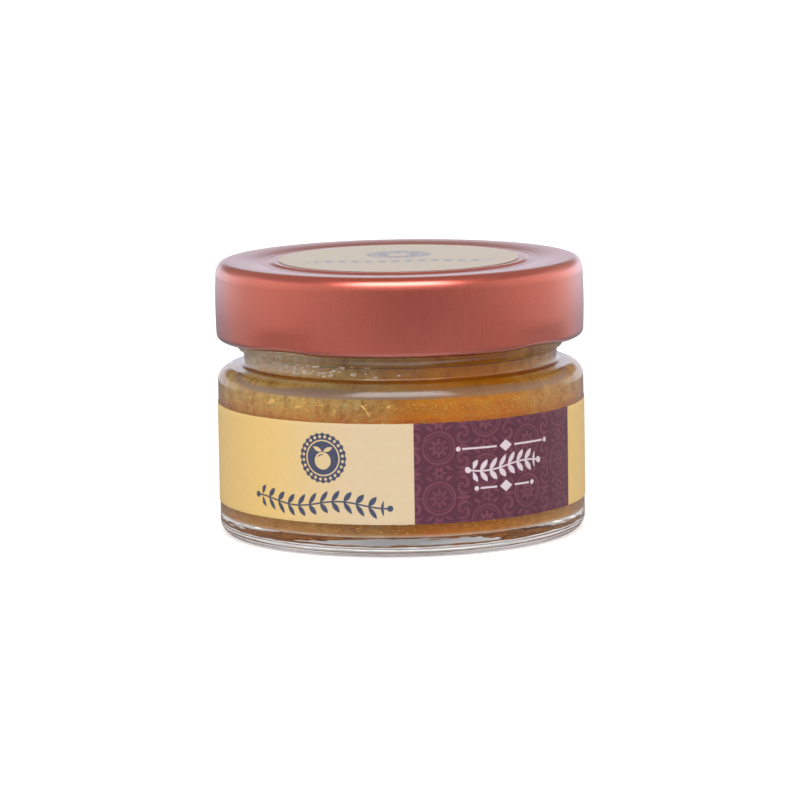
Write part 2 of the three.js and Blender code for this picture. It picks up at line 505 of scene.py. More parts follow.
# Painted light and shade on the jelly: darker from under the shoulder up, lighter again in the neck, darker
# near the floor
PAINTED_SHADE_UNDER_SHOULDER = (23.8, 27.0)
PAINTED_LIGHT_IN_NECK = (30.2, 30.9)
PAINTED_SHADE_NEAR_FLOOR = (9.0, 7.0)
FROTH_LEVEL = (30.9, 31.8)
FROTH_LEFT = (-9.0, -23.0)
FROTH_MIDDLE = (14.0, 0.0)
# Painted highlights in the froth's colour: near the floor, and at the ceiling on the left
FLOOR_HIGHLIGHT = (4.2, 3.2)
CEILING_HIGHLIGHT_SIDE = (14.0, 4.0)
# Painted reflection: the grey ring under the shoulder, its bottom, its top, how it sinks at the sides and
# fades to the right
RING_BOTTOM = (27.78, 27.95)
RING_TOP = (28.55, 28.4)
RING_SINK = (12.0, 30.0)
RING_FADE = (0.0, 12.0)

# A band has a lower limit, an upper limit and the softness of both. The throat, front and bead-shadow bands
# are painted shade; the bead, neck-foot and ceiling bands are painted highlights.
THROAT_BAND = (28.72, 30.3, 0.1)
PAINTED_SHADE_FRONT_BAND = (-13.0, 3.0, 4.0)
BEAD_SHADOW = (32.92, 33.1, 0.07)
BEAD_HIGHLIGHT = (34.24, 34.32, 0.05)
NECK_FOOT_HIGHLIGHT = (30.75, 30.85, 0.07)
CEILING_HIGHLIGHT = (28.46, 28.66, 0.04)


def jelly_ground(tree, jar, x, drift, grain):
    """Cloudy colour on the left and at the far right, clear colour between, both mottled by noise."""
    clear, cloudy = jar.jelly_colour, jar.cloudy_colour
    side = ramped(x + drift, *CLEAR_SIDE)
    outer = ramped(x + drift * 0.4, *CLOUDY_END)
    clumps = ramped(noise(tree, 300.0, 2.0, 0.55, distortion=0.6), 0.44, 0.62)
    gaps = ramped(noise(tree, 380.0, 2.0, 0.5, distortion=0.8), 0.50, 0.64)
    bits = ramped(noise(tree, 1000.0, 2.0, 0.6), 0.46, 0.64)
    deep = between(clumps * 0.8, rgba(clear), shaded(clear, 1.08, 1.25, 1.0))
    deep = between(gaps * 0.7, deep, shaded(clear, 0.84, 0.66, 0.5))
    deep = between(grain * 0.4, deep, shaded(clear, 1.2, 1.4, 2.0))
    pale = between(clumps, rgba(cloudy), shaded(cloudy, 1.2, 1.42, 1.6))
    pale = between(gaps * 0.6, pale, shaded(cloudy, 0.68, 0.48, 0.3))
    pale = between(bits * 0.6, pale, shaded(cloudy, 1.3, 1.45, 1.6))
    return between(side * (outer * -0.65 + 1.0), pale, deep)


def jelly_painted_shading(x, z, throat_shade):
    """Painted light and shade on the jelly: a brightness factor that is full in the body, with painted shade
    near the floor, from under the shoulder up, in a band across the front and under the bead, and painted
    light in the throat and neck.
    """
    level = ramped(z, *PAINTED_SHADE_UNDER_SHOULDER) * -0.75 + ramped(z, *PAINTED_LIGHT_IN_NECK) * 0.25
    level = level + ramped(z, *PAINTED_SHADE_NEAR_FLOOR) * -0.66 + 1.5
    level = level + throat_shade * 0.1 - window(x, *PAINTED_SHADE_FRONT_BAND) * 0.14
    return level - window(z, *BEAD_SHADOW) * 0.6


def jelly_froth_and_highlights(tree, x, z, drift):
    """Share of the pale froth colour: froth flakes in the neck, most on the left, and painted highlights in
    thin lines where the glass turns and near the floor.
    """
    flakes = ramped(noise(tree, 1.0, vector=stretched(tree, (420.0, 420.0, 1800.0))), 0.40, 0.64)
    left = ramped(x + drift * 0.3, *FROTH_LEFT) * (flakes * 0.6 + 0.4)
    froth_and_highlights = ramped(z, *FROTH_LEVEL) * (left + ramped(x, *FROTH_MIDDLE) * 0.1)
    froth_and_highlights = froth_and_highlights.high(window(z, *BEAD_HIGHLIGHT)).high(window(z, *NECK_FOOT_HIGHLIGHT) * 0.3)
    ceiling_highlight = window(z, *CEILING_HIGHLIGHT) * ramped(x, *CEILING_HIGHLIGHT_SIDE) * 0.09
    return froth_and_highlights.high(ramped(z, *FLOOR_HIGHLIGHT) * 0.4).high(ceiling_highlight)


def painted_shoulder_reflection(x, z):
    """Share of the painted grey reflection under the shoulder: a band up the wall, lower at the sides,
    fainter right.
    """
    top = z + ramped(abs(x), *RING_SINK) * 0.5
    return ramped(z, *RING_BOTTOM) * ramped(top, *RING_TOP) * (ramped(x, *RING_FADE) * -0.35 + 1.0)


def set_jelly(jar):
    """Amber jelly, cloudy with pulp on the left, clear on the right and browner where it has settled, with
    painted shade in the throat, painted light and shade by height, painted highlights and a painted
    reflection under the shoulder.
    """
    material, tree, shader = new_material(
        "set_jelly", Roughness=0.4, IOR=1.4, Specular_IOR_Level=0.1, Subsurface_Weight=0.4,
        Subsurface_Radius=(1.0, 0.35, 0.08), Subsurface_Scale=0.5 * MM,
    )
    x, _, z = axes(tree)
    drift = (noise(tree, 60.0) - 0.5) * 30.0
    grain = ramped(noise(tree, 2800.0, 2.0, 0.6), 0.35, 0.75)
    colour = jelly_ground(tree, jar, x, drift, grain)
    settled_and_shade = rgba(jar.settled_and_throat_shade_colour)
    sunk = ramped(z + drift * 0.05, *SETTLED_BELOW) * (ramped(z, *SETTLED_MORE) * 0.25 + 0.45)
    colour = between(sunk, colour, settled_and_shade)
    # Painted shade: the throat band is mixed towards the settled colour
    throat_shade = window(z, *THROAT_BAND)
    colour = between(throat_shade * 0.85, colour, settled_and_shade)
    # Painted light and shade: the colour times a brightness that varies with height and across the front
    colour = scaled(colour, jelly_painted_shading(x, z, throat_shade))
    # Froth, and painted highlights in the froth's colour
    colour = between(jelly_froth_and_highlights(tree, x, z, drift), colour, rgba(jar.froth_and_highlight_colour))
    # Painted reflection: the grey ring under the shoulder
    colour = between(painted_shoulder_reflection(x, z), colour, rgba(jar.shoulder_reflection_colour))
    feed(shader.inputs["Base Color"], colour)
    bump(shader, grain, 0.05 * MM)
    return material


def soft_fruit(name, colour, scale):
    """Candied fruit: a waxy colour that pales and darkens along each bit."""
    material, tree, shader = new_material(
        name, IOR=1.4, Specular_IOR_Level=0.15, Subsurface_Weight=0.3,
        Subsurface_Radius=(1.0, 0.5, 0.16), Subsurface_Scale=0.2 * MM,
    )
    patches = ramped(noise(tree, scale), 0.35, 0.68)
    mottled = between(patches, shaded(colour, 0.78, 0.64, 0.42), rgba(colour))
    feed(shader.inputs["Base Color"], mottled)
    feed(shader.inputs["Roughness"], patches * 0.15 + 0.32)
    bump(shader, noise(tree, scale * 4.0), 0.03 * MM)
    return material


def trapped_air(jar):
    """Pockets of air in the jelly: a silvery mirror, duller in patches."""
    material, tree, shader = new_material("trapped_air", Base_Color=rgba(jar.air_colour), Metallic=1.0)
    patches = noise(tree, 1500.0)
    feed(shader.inputs["Roughness"], ramped(patches, 0.3, 0.7) * 0.2 + 0.25)
    bump(shader, patches, 0.03 * MM)
    return material


def lid_lacquer(jar):
    """Copper-red lacquer on drawn tinplate: fine upright streaks under a satin coat, with painted shade at
    its foot.
    """
    material, tree, shader = new_material(
        "lid_lacquer", Metallic=1.0, Coat_Weight=0.9, Coat_Roughness=0.21, Coat_IOR=1.75,
    )
    streaks = noise(tree, 1.0, 3.0, 0.6, stretched(tree, (3200.0, 3200.0, 160.0)))
    grain = noise(tree, 3600.0, 2.0, 0.6)
    tone = streaks * 0.4 + grain * 0.6
    base = jar.lid_colour
    colour = between(ramped(tone, 0.3, 0.7), shaded(base, 0.86, 0.86, 0.86), rgba(base))
    # Painted shade: the colour darkens towards the lid's foot
    painted_foot_shade = ramped(axes(tree)[2], *LID_FOOT_SHADE) * -0.5 + 1.0
    feed(shader.inputs["Base Color"], scaled(colour, painted_foot_shade))
    feed(shader.inputs["Roughness"], ramped(tone, 0.25, 0.75) * 0.06 + 0.29)
    bump(shader, tone, 0.003 * MM)
    return material


# Print: shapes as signed distances in millimetres, below zero inside

# Damask: rings as radius and half width, flowers as petals, radius and depth, leaves as place, turn in
# degrees, half length and half width
DAMASK_WIDE = 8.87
DAMASK_TALL = 8.95
DAMASK_SOFT = 0.14
DAMASK_RINGS = ((2.85, 0.20), (2.28, 0.09))
ROSETTE = (8.0, 1.38, 0.42)
ROSETTE_EYE = 0.62
ROSETTE_SEED = 0.34
BLOOM = (6.0, 0.98, 0.34)
BLOOM_EYE = 0.36
SCROLL_PITCH = 1.5
SCROLL_SLOPE = 0.75
SCROLL_HALF = 0.17
SCROLL_REACH = 1.72
DAMASK_LEAVES = (
    (DAMASK_WIDE / 2.0, 0.0, 0.0, 1.35, 0.40),
    (DAMASK_WIDE / 2.0, DAMASK_TALL / 2.0, 0.0, 1.35, 0.40),
    (1.75, 3.55, 32.0, 0.85, 0.30),
)

# Badge, before it is scaled: rings as above, the shine's middle and half angle in radians
BADGE_DOTS = 24
BADGE_RIM = (BADGE_DOTS, 4.4, 0.12)
DOT_CIRCLE = 3.8
DOT_RADIUS = 0.26
BADGE_RING = (3.12, 0.12)
FRUIT_DROP = 0.5
FRUIT_RADIUS = 1.55
SHINE_RING = (1.12, 0.1)
SHINE_ANGLES = (2.2, 0.7)
BADGE_LEAF = (1.0, 1.55, 24.0, 0.95, 0.36)

# Sprigs and rules, the stem's waves in radians to the millimetre
STEM_WAVES = 0.36
STEM_SWAY = 0.55
STEM_HALF = 0.15
SPRIG_LEAF = (0.25, 1.0, 52.0, 1.25, 0.46)
BERRY_RADIUS = 0.55
RULE_HALF = 0.17
RULE_GAP = 1.9
DIAMOND_LEAN = 0.8
DIAMOND_HALF = 1.05
RULE_DOT_GAP = 0.75
RULE_DOT_RADIUS = 0.42

# Places on the papers: the plum field's ends in degrees, its rules as height and half length, its sprig as
# half length, height and pitch, badges as middle and size, other sprigs as ends, height and pitch
FIELD_DEGREES = (3.55, 62.9)
# Painted sheen: the ground pales towards this middle, in millimetres along the label, from where it begins
# to where it is full
SHEEN_MIDDLE = -2.0
SHEEN_REACH = (27.0, 4.0)
FIELD_RULES = ((19.2, 8.6), (12.0, 5.2))
FIELD_SPRIG = (7.6, 15.6, 1.9)
LABEL_BADGE = (-14.4, 17.8, 1.0)
LABEL_SPRIG = (-29.2, -2.2, 9.6, 2.25)
STICKER_BADGE = (0.0, 5.5, 1.35)
STICKER_SPRIG = (-16.5, 16.5, -5.5, 2.4)
PAPER_FIBRES = (900.0, 3.0, 0.6)
PAPER_RELIEF = 0.012 * MM


def polar(u, v):
    """Distance and angle of a point from the middle of its own axes."""
    return (u * u + v * v).math("SQRT"), v.math("ARCTAN2", u)


def disc(u, v, centre_u, centre_v, radius):
    """A disc: the distance from its centre less its radius."""
    return polar(u - centre_u, v - centre_v)[0] - radius


def band(value, middle, half_width):
    """A band or ring: how far a value is from the middle of it, less half its width."""
    return abs(value - middle) - half_width


def petals(u, v, count, radius, depth):
    """A flower outline: the distance less a radius that swells so many times round."""
    distance, angle = polar(u, v)
    return distance - ((angle * count).math("COSINE") * depth + radius)


def leaf(u, v, centre_u, centre_v, degrees, half_length, half_width):
    """A pointed leaf: across its line, less a half width that falls as the square of the place along it."""
    c, s = cos(radians(degrees)), sin(radians(degrees))
    du, dv = u - centre_u, v - centre_v
    along = du * c + dv * s
    across = abs(dv * c - du * s)
    return across + along * along * (half_width / half_length**2) - half_width


def damask(u, v, left, bottom):
    """A half-drop damask: rosettes in rings, six-petalled flowers between, scrolls and leaves beside."""
    p, q = u - left, v - bottom
    column = (p / DAMASK_WIDE).math("FLOOR")
    q = q + column.math("FLOORED_MODULO", 2.0) * (DAMASK_TALL / 2.0)
    a, b = p.wrapped(DAMASK_WIDE), q.wrapped(DAMASK_TALL)
    distance = polar(a, b)[0]
    shape = petals(a, b, *ROSETTE).high((distance - ROSETTE_EYE) * -1.0).low(distance - ROSETTE_SEED)
    for ring in DAMASK_RINGS:
        shape = shape.low(band(distance, *ring))
    side_a, side_b = abs(a), abs(b)
    edge_b = side_b - DAMASK_TALL / 2.0
    bloom = petals(a, edge_b, *BLOOM).high((polar(a, edge_b)[0] - BLOOM_EYE) * -1.0)
    reach, turn = polar(side_a - DAMASK_WIDE / 2.0, side_b - DAMASK_TALL / 4.0)
    arm = (reach / SCROLL_PITCH - turn / pi).math("FLOORED_MODULO", 1.0)
    scroll = (abs(arm - 0.5) * SCROLL_SLOPE - SCROLL_HALF).high(reach - SCROLL_REACH)
    shape = shape.low(bloom).low(scroll)
    for spot in DAMASK_LEAVES:
        shape = shape.low(leaf(side_a, side_b, *spot))
    return shape


def medallion(u, v, centre_u, centre_v, size):
    """A round badge with a scalloped rim, cut through by dots, a thin ring and a fruit with leaves.

    The dots repeat: the angle within one step times the radius of their circle is the place along it.
    """
    du, dv = (u - centre_u) / size, (v - centre_v) / size
    distance, angle = polar(du, dv)
    rim = petals(du, dv, *BADGE_RIM)
    along = angle.wrapped(2.0 * pi / BADGE_DOTS) * DOT_CIRCLE
    dots = polar(along, distance - DOT_CIRCLE)[0] - DOT_RADIUS
    from_fruit = polar(du, dv + FRUIT_DROP)[0]
    shine = band(from_fruit, *SHINE_RING).high(band(angle, *SHINE_ANGLES))
    fruit = (from_fruit - FRUIT_RADIUS).high(shine * -1.0)
    leaves = leaf(abs(du), dv, *BADGE_LEAF)
    cut = dots.low(band(distance, *BADGE_RING)).low(fruit).low(leaves)
    return rim.high(cut * -1.0) * size


def sprig_motif(u, v, start, end, height, pitch):
    """A waving stem with a pair of leaves at every step along it, and a round berry at each end."""
    middle, half = (start + end) / 2.0, (end - start) / 2.0
    sway = ((u - middle) * STEM_WAVES).math("SINE") * STEM_SWAY
    away = v - sway - height
    length = band(u, middle, half)
    stem = (abs(away) - STEM_HALF).high(length)
    step = (u - start).wrapped(pitch)
    leaves = leaf(step, abs(away), *SPRIG_LEAF).high(length + pitch / 2.0)
    berry = disc(abs(u - middle), away, half, 0.0, BERRY_RADIUS)
    return stem.low(leaves).low(berry)


def rule_motif(u, v, middle, height, half):
    """A ruled line with a diamond in its middle and a dot at each end."""
    du, dv = abs(u - middle), abs(v - height)
    line = (dv - RULE_HALF).high(band(du, (half + RULE_GAP) / 2.0, (half - RULE_GAP) / 2.0))
    diamond = (du * DIAMOND_LEAN + dv) - DIAMOND_HALF
    dot = disc(du, dv, half + RULE_DOT_GAP, 0.0, RULE_DOT_RADIUS)
    return line.low(diamond).low(dot)


def plum_field(tree, jar, u, z, left, middle):
    """Plum ground with a worn damask, and a pale sprig between two rules."""
    pattern = damask(u, z, left, LABEL_LOW.z / MM).inside(DAMASK_SOFT)
    worn = ramped(noise(tree, 520.0), 0.25, 0.7) * 0.5 + 0.5
    plum = between(pattern * worn, rgba(jar.plum_colour), rgba(jar.damask_colour))
    half, height, pitch = FIELD_SPRIG
    ornaments = sprig_motif(u, z, middle - half, middle + half, height, pitch)
    for rule in FIELD_RULES:
        ornaments = ornaments.low(rule_motif(u, z, middle, *rule))
    return between(ornaments.inside() * 0.9, plum, rgba(jar.ornament_colour))


def label_print(jar):
    """Cream paper with a plum damask field, blue motifs beside it and pale ornaments on it, and a painted
    sheen that pales the ground towards the middle.
    """
    material, tree, shader = new_material("label_print", IOR=1.45, Specular_IOR_Level=0.35)
    x, y, z = axes(tree)
    radius = LABEL_HIGH.x / MM
    u = x.math("ARCTAN2", y * -1.0) * radius
    left, right = (radians(degrees) * radius for degrees in FIELD_DEGREES)
    middle = (left + right) / 2.0
    fibres = noise(tree, *PAPER_FIBRES)
    speckle = noise(tree, 4200.0, 1.0)
    cream = jar.paper_colour
    # Painted sheen: the ground pales towards the label's middle
    painted_sheen = ramped(abs(u - SHEEN_MIDDLE), *SHEEN_REACH)
    ground = between(painted_sheen, rgba(cream), rgba(jar.painted_sheen_colour))
    colour = between(ramped(fibres, 0.3, 0.7) * 0.12, ground, shaded(cream, 0.8, 0.74, 0.6))
    field = band(u, middle, (right - left) / 2.0).inside()
    colour = between(field, colour, plum_field(tree, jar, u, z, left, middle))
    motifs = medallion(u, z, *LABEL_BADGE).low(sprig_motif(u, z, *LABEL_SPRIG))
    ink = motifs.inside() * (ramped(speckle, 0.1, 0.5) * 0.12 + 0.86)
    colour = between(ink, colour, rgba(jar.ink_colour))
    feed(shader.inputs["Base Color"], colour)
    feed(shader.inputs["Roughness"], ramped(fibres, 0.2, 0.8) * 0.12 + 0.42)
    bump(shader, fibres * 0.6 + speckle * 0.4, PAPER_RELIEF)
    return material


def sticker_print(jar):
    """Cream paper with a pale blue fruit and sprig."""
    material, tree, shader = new_material("sticker_print", IOR=1.45, Specular_IOR_Level=0.4)
    x, y, _ = axes(tree)
    fibres = noise(tree, *PAPER_FIBRES)
    cream = jar.sticker_colour
    colour = between(ramped(fibres, 0.3, 0.7), shaded(cream, 0.96, 0.94, 0.9), rgba(cream))
    motifs = medallion(x, y, *STICKER_BADGE).low(sprig_motif(x, y, *STICKER_SPRIG))
    colour = between(motifs.inside() * 0.75, colour, rgba(jar.sticker_ink))
    feed(shader.inputs["Base Color"], colour)
    feed(shader.inputs["Roughness"], ramped(fibres, 0.2, 0.8) * 0.12 + 0.38)
    bump(shader, fibres, PAPER_RELIEF)
    return material


# Shapes of the jar


def cavity():
    """Inside of the glass from the middle of the floor up to the throat."""
    corner_r = BORE_RADIUS - FLOOR_CORNER
    ceiling_r = BORE_RADIUS - CEILING_CORNER
    throat_r = MOUTH_RADIUS + THROAT_ROUND
    return np.vstack((
        dome(corner_r, FLOOR_Z, FLOOR_RISE, FLOOR_STEPS)[:-1],
        arc(corner_r, FLOOR_Z + FLOOR_CORNER, FLOOR_CORNER, -90, 0, 12),
        arc(ceiling_r, CEILING_Z - CEILING_CORNER, CEILING_CORNER, 0, 90, 10),
        arc(throat_r, CEILING_Z + THROAT_ROUND, THROAT_ROUND, -90, -180, 8),
    ))


def glass_profile():
    """Push-up, bearing ring, heel, wall, shoulder, neck, bead and rim, then back down inside."""
    body_r = JAR_HIGH.x
    rim_z = JAR_HIGH.z - RIM_ROUND
    outside = np.vstack((
        dome(PUSH_UP_RADIUS, PUSH_UP_EDGE_Z, PUSH_UP_RISE, 10),
        arc(BEARING_RADIUS, PUSH_UP_EDGE_Z, PUSH_UP_EDGE_Z, -150, -90, 4),
        arc(body_r - HEEL_ROUND, HEEL_ROUND, HEEL_ROUND, -90, 0, 14),
        arc(body_r - SHOULDER_ROUND, SHOULDER_Z - SHOULDER_ROUND, SHOULDER_ROUND, 0, 90, 12),
        arc(NECK_RADIUS + NECK_FILLET, NECK_FOOT_Z + NECK_FILLET, NECK_FILLET, -90, -180, 8),
        arc(FINISH_RADIUS - BEAD_ROUND, BEAD_BOTTOM_Z + BEAD_ROUND, BEAD_ROUND, -88, 0, 10),
        arc(FINISH_RADIUS - RIM_ROUND, rim_z, RIM_ROUND, 0, 90, 8),
        arc(MOUTH_RADIUS + RIM_ROUND, rim_z, RIM_ROUND, 90, 180, 8),
    ))
    return np.vstack((outside, cavity()[::-1]))


def wave(angle, z, depth):
    """Low waves in the glass: the depth times a sum of sines round the axis that turn slowly with height."""
    height = z / MM
    sines = (
        share * np.sin(count * angle + start + turn * height)
        for share, count, start, turn in GLASS_WAVES
    )
    return depth * sum(sines)


def bore_wave(depth):
    """A shift for the inside of the glass: waves on the bore, none outside or near floor and mouth."""

    def shift(angle, r, z):
        low = np.clip((z - FLOOR_Z) / WAVE_FADE, 0.0, 1.0)
        high = np.clip((WAVE_TOP_Z - z) / WAVE_FADE, 0.0, 1.0)
        middle = np.clip((r - WAVE_RADIUS) / WAVE_FADE, 0.0, 1.0)
        inside = r < inner_limit(z) + WAVE_REACH
        return r + np.where(inside, wave(angle, z, depth) * low * high * middle, 0.0), z

    return shift


def inner_limit(z):
    """Radius of the inside of the glass at a height, read off the cavity's profile above its floor."""
    rising = cavity()[FLOOR_STEPS + 1:]
    return np.interp(z, rising[:, 1], rising[:, 0])


def fill_profile(overlap, shrink):
    """The jelly: the cavity's profile moved along its normal, up to a level with a small raised edge.

    It reaches into the wall by the overlap, and stands off the flat of the floor by the shrink.
    """
    wall = refined(cavity(), longest=0.4 * MM)
    along = np.gradient(wall, axis=0)
    normal = np.column_stack((along[:, 1], -along[:, 0])) / np.linalg.norm(along, axis=1)[:, None]
    loose = np.clip((-normal[:, 1:] - FLOOR_LOOSE) / LOOSE_SOFT, 0.0, 1.0)
    wall = wall + normal * (overlap - loose * (overlap + shrink))
    wall[0] = [0.0, wall[0, 1]]
    mouth_r = MOUTH_RADIUS + overlap
    edge = np.array([mouth_r, FILL_HIGH.z]) - np.array(FILL_EDGE)
    level = FILL_HIGH.z - FILL_DIP
    return np.vstack((wall, edge, [[mouth_r / 2.0, level], [0.0, level]]))


def lid_profile():
    """Underside of the top, inside of the skirt, rolled curl, outside of the skirt, crest, groove and panel.

    The skirt turns into the corner by a long slow arc first, which gives the highlight its soft lower edge.
    """
    outer = radians(CREST_OUTER)
    reach = CREST_ROUND - LID_TOP_ROUND
    crest_z = LID_HIGH.z - CREST_ROUND
    slow = radians(SLOW_TURN)
    slow_r = LID_HIGH.x - BARREL_SAG - SLOW_ROUND
    corner_r = slow_r + (SLOW_ROUND - LID_TOP_ROUND) * cos(slow)
    corner_z = crest_z + reach * sin(outer)
    slow_z = corner_z - (SLOW_ROUND - LID_TOP_ROUND) * sin(slow)
    crest_r = corner_r - reach * cos(outer)
    bore_r = LID_HIGH.x - LID_SHEET
    curl_r = LID_HIGH.x - BARREL_SAG - CURL_ROUND
    lip = curl_r - CURL_RADIUS
    in_r, out_r = GROOVE_IN_RADIUS, GROOVE_OUT_RADIUS
    belly = np.linspace(0.0, 1.0, 11)
    skirt_z = LID_LOW.z + CURL_ROUND + belly * (slow_z - LID_LOW.z - CURL_ROUND)
    under_z = PANEL_Z - LID_SHEET
    inside = np.vstack((
        [[0.0, under_z], [PANEL_RADIUS - LID_SHEET, under_z]],
        [[in_r - PANEL_ROUND, GROOVE_Z - LID_SHEET], [out_r + PANEL_ROUND, GROOVE_Z - LID_SHEET]],
        [[crest_r, LID_HIGH.z - LID_SHEET]],
        arc(corner_r, corner_z, LID_TOP_ROUND - LID_SHEET, CREST_OUTER, 0, 8),
        [[bore_r, slow_z]],
        arc(bore_r - CURL_BEVEL, CURL_TOP_Z + CURL_BEVEL, CURL_BEVEL, 0, -90, 5),
        arc(CURL_RADIUS + CURL_BEVEL, CURL_TOP_Z - CURL_BEVEL, CURL_BEVEL, 90, 180, 5),
        arc(curl_r, LID_LOW.z + lip, lip, 180, 262, 8),
    ))
    outside = np.vstack((
        arc(curl_r, LID_LOW.z + CURL_ROUND, CURL_ROUND, -90, 0, 12),
        np.column_stack((LID_HIGH.x - BARREL_SAG * (2.0 * belly - 1.0) ** 2, skirt_z)),
        arc(slow_r, slow_z, SLOW_ROUND, 0, SLOW_TURN, 5),
        arc(corner_r, corner_z, LID_TOP_ROUND, SLOW_TURN, CREST_OUTER, 14)[1:-1],
        arc(crest_r, crest_z, CREST_ROUND, CREST_OUTER, CREST_INNER, 12),
        arc(out_r, GROOVE_Z + PANEL_ROUND, PANEL_ROUND, -50, -90, 5),
        arc(in_r, GROOVE_Z + PANEL_ROUND, PANEL_ROUND, -90, -130, 5),
        arc(PANEL_RADIUS - PANEL_ROUND, PANEL_Z - PANEL_ROUND, PANEL_ROUND, 30, 90, 5),
        [[0.0, PANEL_Z]],
    ))
    return np.vstack((inside, outside))


def press_lugs(angle, r, z):
    """The curl pressed in and up at each lug: a squared cosine round the axis, fading out up the skirt."""
    apart = np.abs((angle[..., None] - LUG_ANGLES + np.pi) % (2.0 * np.pi) - np.pi).min(axis=-1)
    near = np.where(apart < LUG_HALF_WIDTH, np.cos(apart / LUG_HALF_WIDTH * np.pi / 2.0) ** 2, 0.0)
    share = np.clip((z - LID_LOW.z) / (LUG_FADE_Z - LID_LOW.z), 0.0, 1.0)
    low = 1.0 - share**2 * (3.0 - 2.0 * share)
    weight = near * low
    return r - LUG_PUSH * weight, z + LUG_LIFT * weight * low


def label_shell():
    """A rounded strip's outline carried round the body from one end to the other, closed at both ends."""
    outer, inner = LABEL_HIGH.x, JAR_HIGH.x + LABEL_GAP
    low, high = LABEL_LOW.z, LABEL_HIGH.z
    upwards = np.linspace(low + PAPER_ROUND, high - PAPER_ROUND, LABEL_ROWS)
    front = np.column_stack((np.full(LABEL_ROWS, outer), upwards))
    back = np.column_stack((np.full(LABEL_ROWS, inner), np.linspace(high, low, LABEL_ROWS)))
    outline = np.vstack((
        arc(outer - PAPER_ROUND, low + PAPER_ROUND, PAPER_ROUND, -90, 0, 2)[:-1],
        front,
        arc(outer - PAPER_ROUND, high - PAPER_ROUND, PAPER_ROUND, 0, 90, 2)[1:],
        back,
    ))
    angle = np.linspace(-LABEL_END_ANGLE, LABEL_END_ANGLE, LABEL_STEPS + 1)[:, None]
    r, z = outline[None, :, 0], outline[None, :, 1]
    grid = np.stack((r * np.sin(angle), -r * np.cos(angle), z + 0.0 * angle), axis=-1)
    return grid[None]


def sticker_profile():
    """A disc of paper with a rounded edge."""
    radius, low, high = STICKER_HIGH.x, STICKER_LOW.z, STICKER_HIGH.z
    return np.vstack((
        [[0.0, low], [radius - PAPER_ROUND, low]],
        arc(radius - PAPER_ROUND, high - PAPER_ROUND, PAPER_ROUND, -90, 90, 5),
        [[0.0, high]],
    ))


def strewn(rng, count, clusters):
    """Places on the inner wall: each bit picks a cluster by its share and lands about its middle."""
    share, middle, spread, low, high = np.array(clusters).T
    low, high = low * MM, high * MM
    pick = rng.choice(len(clusters), count, p=share)
    around = np.radians(rng.normal(middle[pick], spread[pick]))
    return around, rng.uniform(low[pick], high[pick]), low[pick], high[pick]


def scattered(rng, count, jar, clusters, length, width, thickness, proud, slope, steps, sides):
    """Bits that lie against the glass, each a tapered tube bent along a short curved line.

    A bit's line runs along the wall from a random place, at a random slant with a random bend. Its
    section is an ellipse, wide along the wall, whose size falls to its ends as the root of a parabola.
    """

    def drawn(limits):
        """One random length in metres for each bit."""
        return rng.uniform(*np.multiply(limits, MM), count)[:, None]

    around, level, low, high = (part[:, None] for part in strewn(rng, count, clusters))
    long, wide, thick = drawn(length), drawn(width), drawn(thickness)
    slant = rng.normal(*slope, count)[:, None]
    bend = rng.normal(0.0, BIT_BEND, count)[:, None]
    share = np.linspace(-1.0, 1.0, steps)[None, :]
    heading = slant + bend * share
    half_step = long / (steps - 1)
    run = np.cumsum(np.cos(heading), axis=1) * half_step
    climb = np.cumsum(np.sin(heading), axis=1) * half_step
    taper = np.sqrt(np.clip(1.0 - (BIT_TAPER * share) ** 2, 0.0, 1.0))
    wobble = 1.0 + BIT_WOBBLE * np.sin(WOBBLE_TURN * share + slant * WOBBLE_MIX)
    z = level + climb - climb.mean(axis=1, keepdims=True)
    z = z - np.clip(z.max(axis=1, keepdims=True) - high, 0.0, None)
    z = z + np.clip(low - z.min(axis=1, keepdims=True), 0.0, None)
    wall = inner_limit(z) + wave(around, z, jar.glass_wave) + jar.fill_overlap
    angle = around + (run - run.mean(axis=1, keepdims=True)) / BORE_RADIUS
    depth = drawn(proud)
    turn = np.linspace(0.0, 2.0 * np.pi, sides, endpoint=False)[None, None, :]
    across = (wide * taper * wobble / 2.0)[..., None] * np.cos(turn)
    inward = (thick * taper / 2.0)[..., None] * np.sin(turn)
    r = (wall + depth - thick * taper / 2.0)[..., None] + inward
    over = heading[..., None] + np.pi / 2.0
    spread = angle[..., None] + across * np.cos(over) / BORE_RADIUS
    height = z[..., None] + across * np.sin(over)
    return np.stack((r * np.sin(spread), -r * np.cos(spread), height), axis=-1)


# Operators


class JAR_OT_glass(bpy.types.Operator):
    """Turn the clear glass jar"""

    bl_idname = "jar.glass"
    bl_label = "Glass jar"

    def execute(self, context):
        jar = context.scene.marmalade_jar
        shift = bore_wave(jar.glass_wave)
        points, faces = turned(refined(glass_profile(), longest=1.0 * MM), jar.turn_steps, shift)
        piece = to_mesh("glass_body", points, faces, clear_glass(jar), smooth=50.0)
        place(piece, "glass", "glass_jar")
        return {"FINISHED"}


class JAR_OT_marmalade(bpy.types.Operator):
    """Fill the jar with set jelly"""

    bl_idname = "jar.marmalade"
    bl_label = "Marmalade"

    def execute(self, context):
        jar = context.scene.marmalade_jar
        shift = bore_wave(jar.glass_wave)
        profile = refined(fill_profile(jar.fill_overlap, jar.fill_shrink), longest=0.8 * MM)
        points, faces = turned(profile, jar.turn_steps, shift)
        piece = to_mesh("jelly_fill", points, faces, set_jelly(jar), smooth=60.0)
        place(piece, "marmalade", "marmalade")
        return {"FINISHED"}


